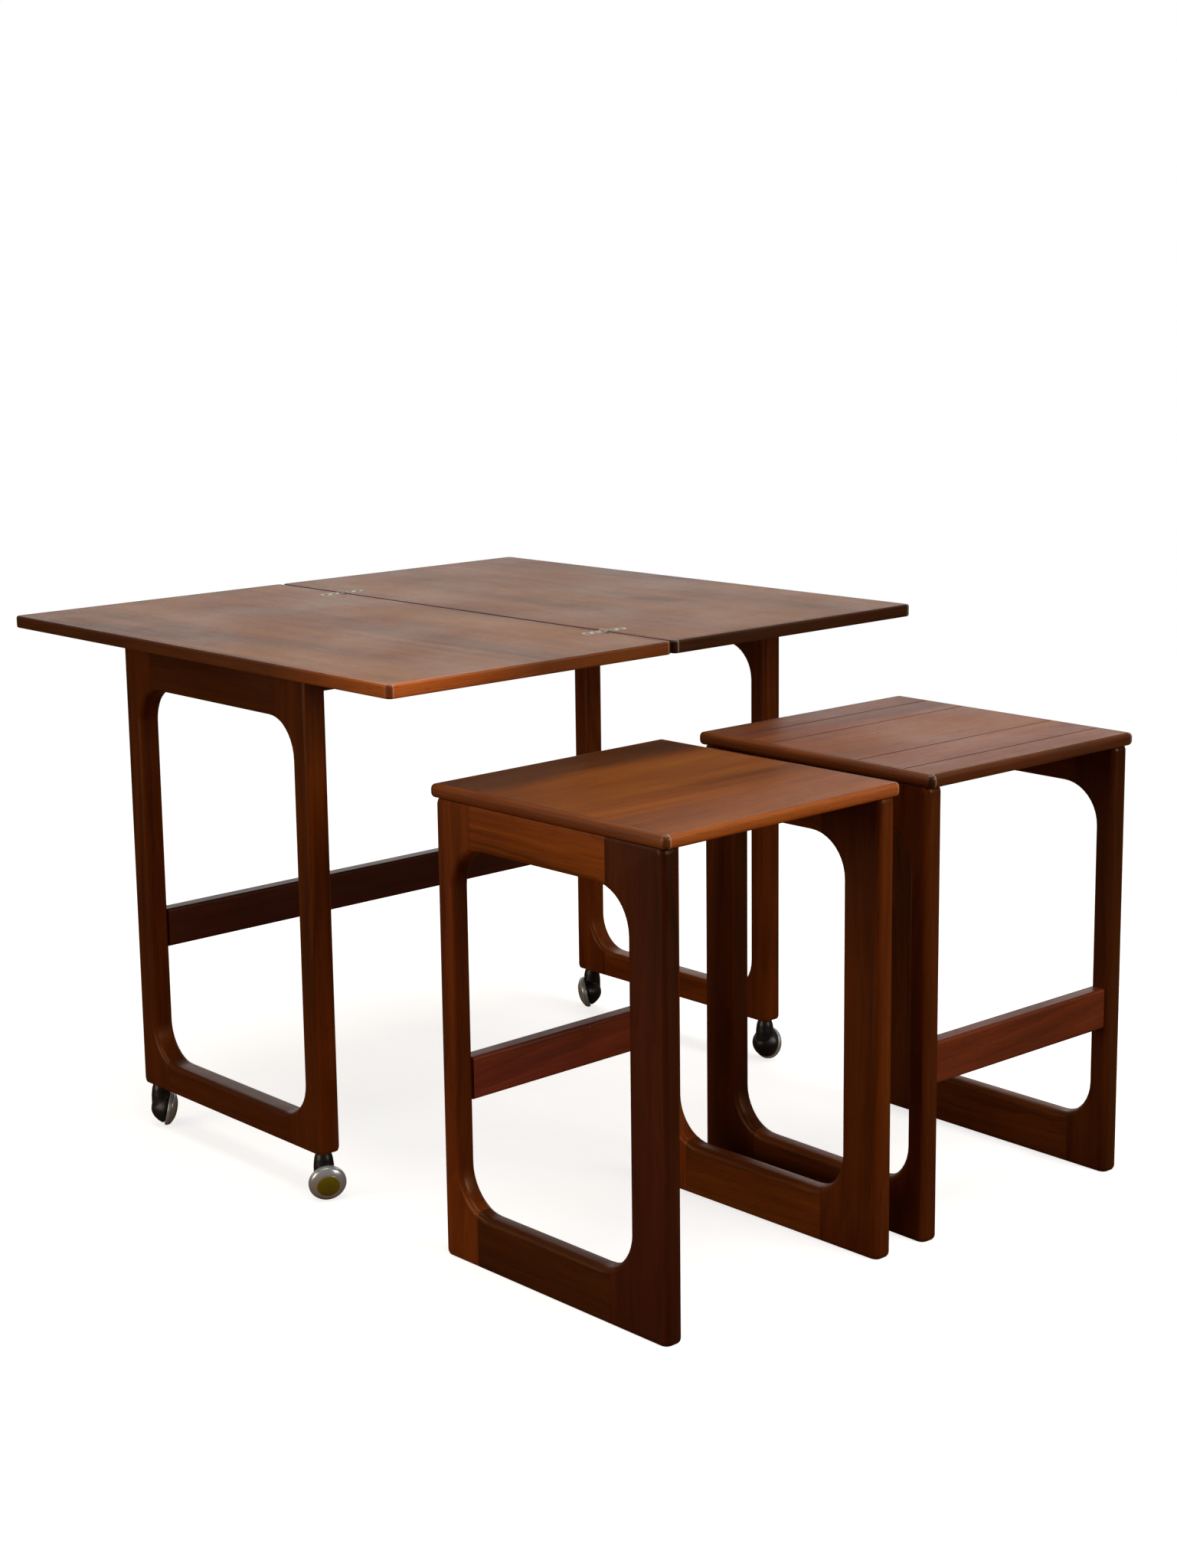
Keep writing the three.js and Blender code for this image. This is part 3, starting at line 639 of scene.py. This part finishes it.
# Profiles in mm, (radius, height). All but the neck's stand on the axle, outward.
BOWL = [(0, -19), (5.5, -18.4), (10.5, -15), (14.6, -9.6), (17.3, -2.6), (0, -2.6)]
ROOM = [(0, -2.65), (19.3, -2.65), (19.3, 12), (0, 12)]
RIM = [(0, -2.3), (17.9, -2.3), (18.45, -1.7), (18.45, 0.9), (18.1, 1.2), (0, 1.2)]
DOME = [(0, 1.5), (17.9, 1.5), (17.7, 2.4), (16.4, 3.8), (14.2, 5.2), (11.9, 6.3), (11.6, 6.1),
        (11.2, 6.4), (0, 6.5)]
CAP = [(0, 6.55), (11.0, 6.55), (10.7, 6.9), (7.5, 7.8), (3.7, 8.35), (0, 8.5)]
NECK = [(0, 16), (8.5, 16), (10, 24), (10, 34), (9, 42), (7.5, 46.5), (7.5, HOOD_TOP), (4, HOOD_TOP),
        (4, STEM_TOP), (0, STEM_TOP)]


def wheel_matrix(place):
    """Puts a lathe's +Z on the axle, from the wheel's middle."""
    roll = JOINTS[f"castor_{place}_roll"]
    along = Vector(roll["axis"]).normalized()
    sideways = Vector((0, 0, 1)).cross(along).normalized()
    return Matrix.Translation(Vector(roll["pos_m"])) @ Matrix(
        (sideways, along.cross(sideways), along)).transposed().to_4x4()


def castor_matrix(place):
    """The swivel axis at floor level, with X outward along the axle."""
    swivel, roll = JOINTS[f"castor_{place}_swivel"], JOINTS[f"castor_{place}_roll"]
    turn = math.atan2(roll["axis"][1], roll["axis"][0])
    x, y = swivel["pos_m"][:2]
    return Matrix.Translation((x, y, 0)) @ Matrix.Rotation(turn, 4, "Z")


own_wheel = castor_matrix(PLACES[0]).inverted() @ wheel_matrix(PLACES[0])
bowl = lathe("bowl", rounded(BOWL, 3.5), FINE, own_wheel)
neck = lathe("neck", rounded(NECK, 1.5), COARSE, Matrix())
room = lathe("room", [(r * MM, z * MM) for r, z in ROOM], FINE, own_wheel)
HOOD = boolean("DIFFERENCE", boolean("UNION", bowl, neck), room)

for place in PLACES:
    for part, profile, radius, material in (
            # the cap piece carries a painted olive reflection on each dome
            ("wheel", RIM, 0.4, CHROME), ("dome", DOME, 0.8, CHROME), ("cap", CAP, 0.8, CAP_REFLECTION)):
        mesh = lathe(part, rounded(profile, radius), FINE, wheel_matrix(place))
        piece = mesh_object(f"{part}_{place}", mesh, material, f"wheel_{place}")
        if part != "cap":
            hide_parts(f"castor_{place}_{part}")
    hood = HOOD.copy()
    hood.transform(castor_matrix(place))
    piece = mesh_object(f"hood_{place}", hood, BLACK, f"castor_{place}")
    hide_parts(f"castor_{place}_hood")

# ---- hinge screws ------------------------------------------------------------------

SCREW_AT = (10.5, 21.8)     # from the hinge's axis, which is at x = 0
SCREW_RADIUS = 3.1
SCREW_Z = 0.5301            # so that a head is level with its strap
HEAD = [(0, -1.2), (SCREW_RADIUS * 0.55, -1.2), (SCREW_RADIUS, -0.1), (SCREW_RADIUS * 0.9, 0.06),
        (0, 0.1)]
SLOT = (SCREW_RADIUS * 2.4 * MM, 0.7 * MM, 0.8 * MM, 1)


def slotted_head(name, x, y, turn, body):
    """A countersunk screw head with a slot across it."""
    bar = bmesh.new()
    bmesh.ops.create_cube(bar, size=1.0, matrix=Matrix.Diagonal(SLOT))
    mesh = boolean("DIFFERENCE", lathe("head", rounded(HEAD, 0.15), 40, Matrix()), as_mesh(bar, "bar"))
    mesh.transform(Matrix.Translation((x, y, SCREW_Z)) @ Matrix.Rotation(turn, 4, "Z"))
    return mesh_object(name, mesh, TARNISH_AND_SHADE, body)


for number in (1, 2):
    low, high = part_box(f"hinge_{number}_pin")
    y = (low.y + high.y) / 2
    for leaf, towards, body in (("fixed", -1, "top_fixed"), ("flap", 1, "top_flap")):
        for index, at in enumerate(SCREW_AT):
            slotted_head(f"hinge_{number}_{leaf}_screw_{index + 1}", towards * at * MM, y,
                         0.7 + index * 1.1 + number * 0.5, body)

# ---- floor, light ------------------------------------------------------------------

FLOOR_HALF = 40
FLOOR_Z = -0.0005
WHITE = (1.0, 1.0, 1.0, 1)


def plane(name, size, z):
    mesh = bmesh.new()
    bmesh.ops.create_grid(mesh, x_segments=1, y_segments=1, size=size)
    floor = bpy.data.objects.new(name, as_mesh(mesh, name))
    floor.location.z = z
    scene.collection.objects.link(floor)
    return floor


def split_by_ray(graph, output_kind, lighting, seen):
    """Ends a node tree: the camera gets the seen shader, and all other rays the lighting one."""
    is_seen = graph.add("ShaderNodeLightPath").outputs["Is Camera Ray"]
    choose = graph.add("ShaderNodeMixShader", {0: is_seen, 1: lighting, 2: seen})
    graph.add(output_kind, {"Surface": choose.outputs[0]})


floor = plane("floor", FLOOR_HALF, FLOOR_Z)
graph = Graph(bpy.data.materials.new("pale_floor"))
graph.tree.nodes.clear()
glow = graph.add("ShaderNodeEmission", {"Color": WHITE, "Strength": 0.72})
shaded = graph.add("ShaderNodeBsdfDiffuse", {"Color": (0.8, 0.8, 0.8, 1)})
near = graph.add("ShaderNodeAddShader", {0: glow.outputs[0], 1: shaded.outputs[0]})
far = graph.add("ShaderNodeEmission")
away = graph.add("ShaderNodeMapRange", {
    "Value": graph.vector_math("LENGTH", graph.coordinates("Object")), "From Min": 0.8, "From Max": 2.6},
    interpolation_type="SMOOTHSTEP")
fade = graph.add("ShaderNodeMixShader", {0: away.outputs["Result"], 1: near.outputs[0], 2: far.outputs[0]})
brown = graph.add("ShaderNodeBsdfDiffuse", {"Color": (0.17, 0.085, 0.035, 1)})
split_by_ray(graph, "ShaderNodeOutputMaterial", brown.outputs[0], fade.outputs[0])
floor.data.materials.append(graph.material)

scene.world = bpy.data.worlds.new("studio")
graph = Graph(scene.world)
graph.tree.nodes.clear()
backdrop = graph.add("ShaderNodeBackground", {"Color": WHITE})
fill = graph.add("ShaderNodeBackground", {"Color": (1.0, 0.84, 0.66, 1), "Strength": 0.15})
split_by_ray(graph, "ShaderNodeOutputWorld", fill.outputs[0], backdrop.outputs[0])


def area_light(name, position, target, size, power, colour):
    """A lamp that the camera doesn't see, from a position to a target, in metres and watts."""
    data = bpy.data.lights.new(name, "AREA")
    data.shape = "RECTANGLE"
    data.size, data.size_y = size
    data.energy = power
    data.color = colour
    light = bpy.data.objects.new(name, data)
    light.location = position
    direction = Vector(target) - Vector(position)
    light.rotation_mode = "QUATERNION"
    light.rotation_quaternion = direction.to_track_quat("-Z", "Y")
    light.visible_camera = False
    scene.collection.objects.link(light)


area_light("window", (0.6, -3.2, 1.5), (-0.1, -0.1, 0.35), (1.8, 1.6), 42, (1.0, 0.95, 0.88))
area_light("back_wall", (2.2, 2.9, 0.95), (0, 0, 0.5), (5.0, 1.6), 21.5, (0.98, 0.97, 0.98))
area_light("ceiling", (0.0, -0.3, 2.6), (0, 0, 0), (2.5, 2.5), 46, (1.0, 0.97, 0.93))
area_light("left_fill", (-3.0, 0.6, 0.9), (0, 0, 0.3), (2.0, 1.6), 26, (1.0, 0.86, 0.68))
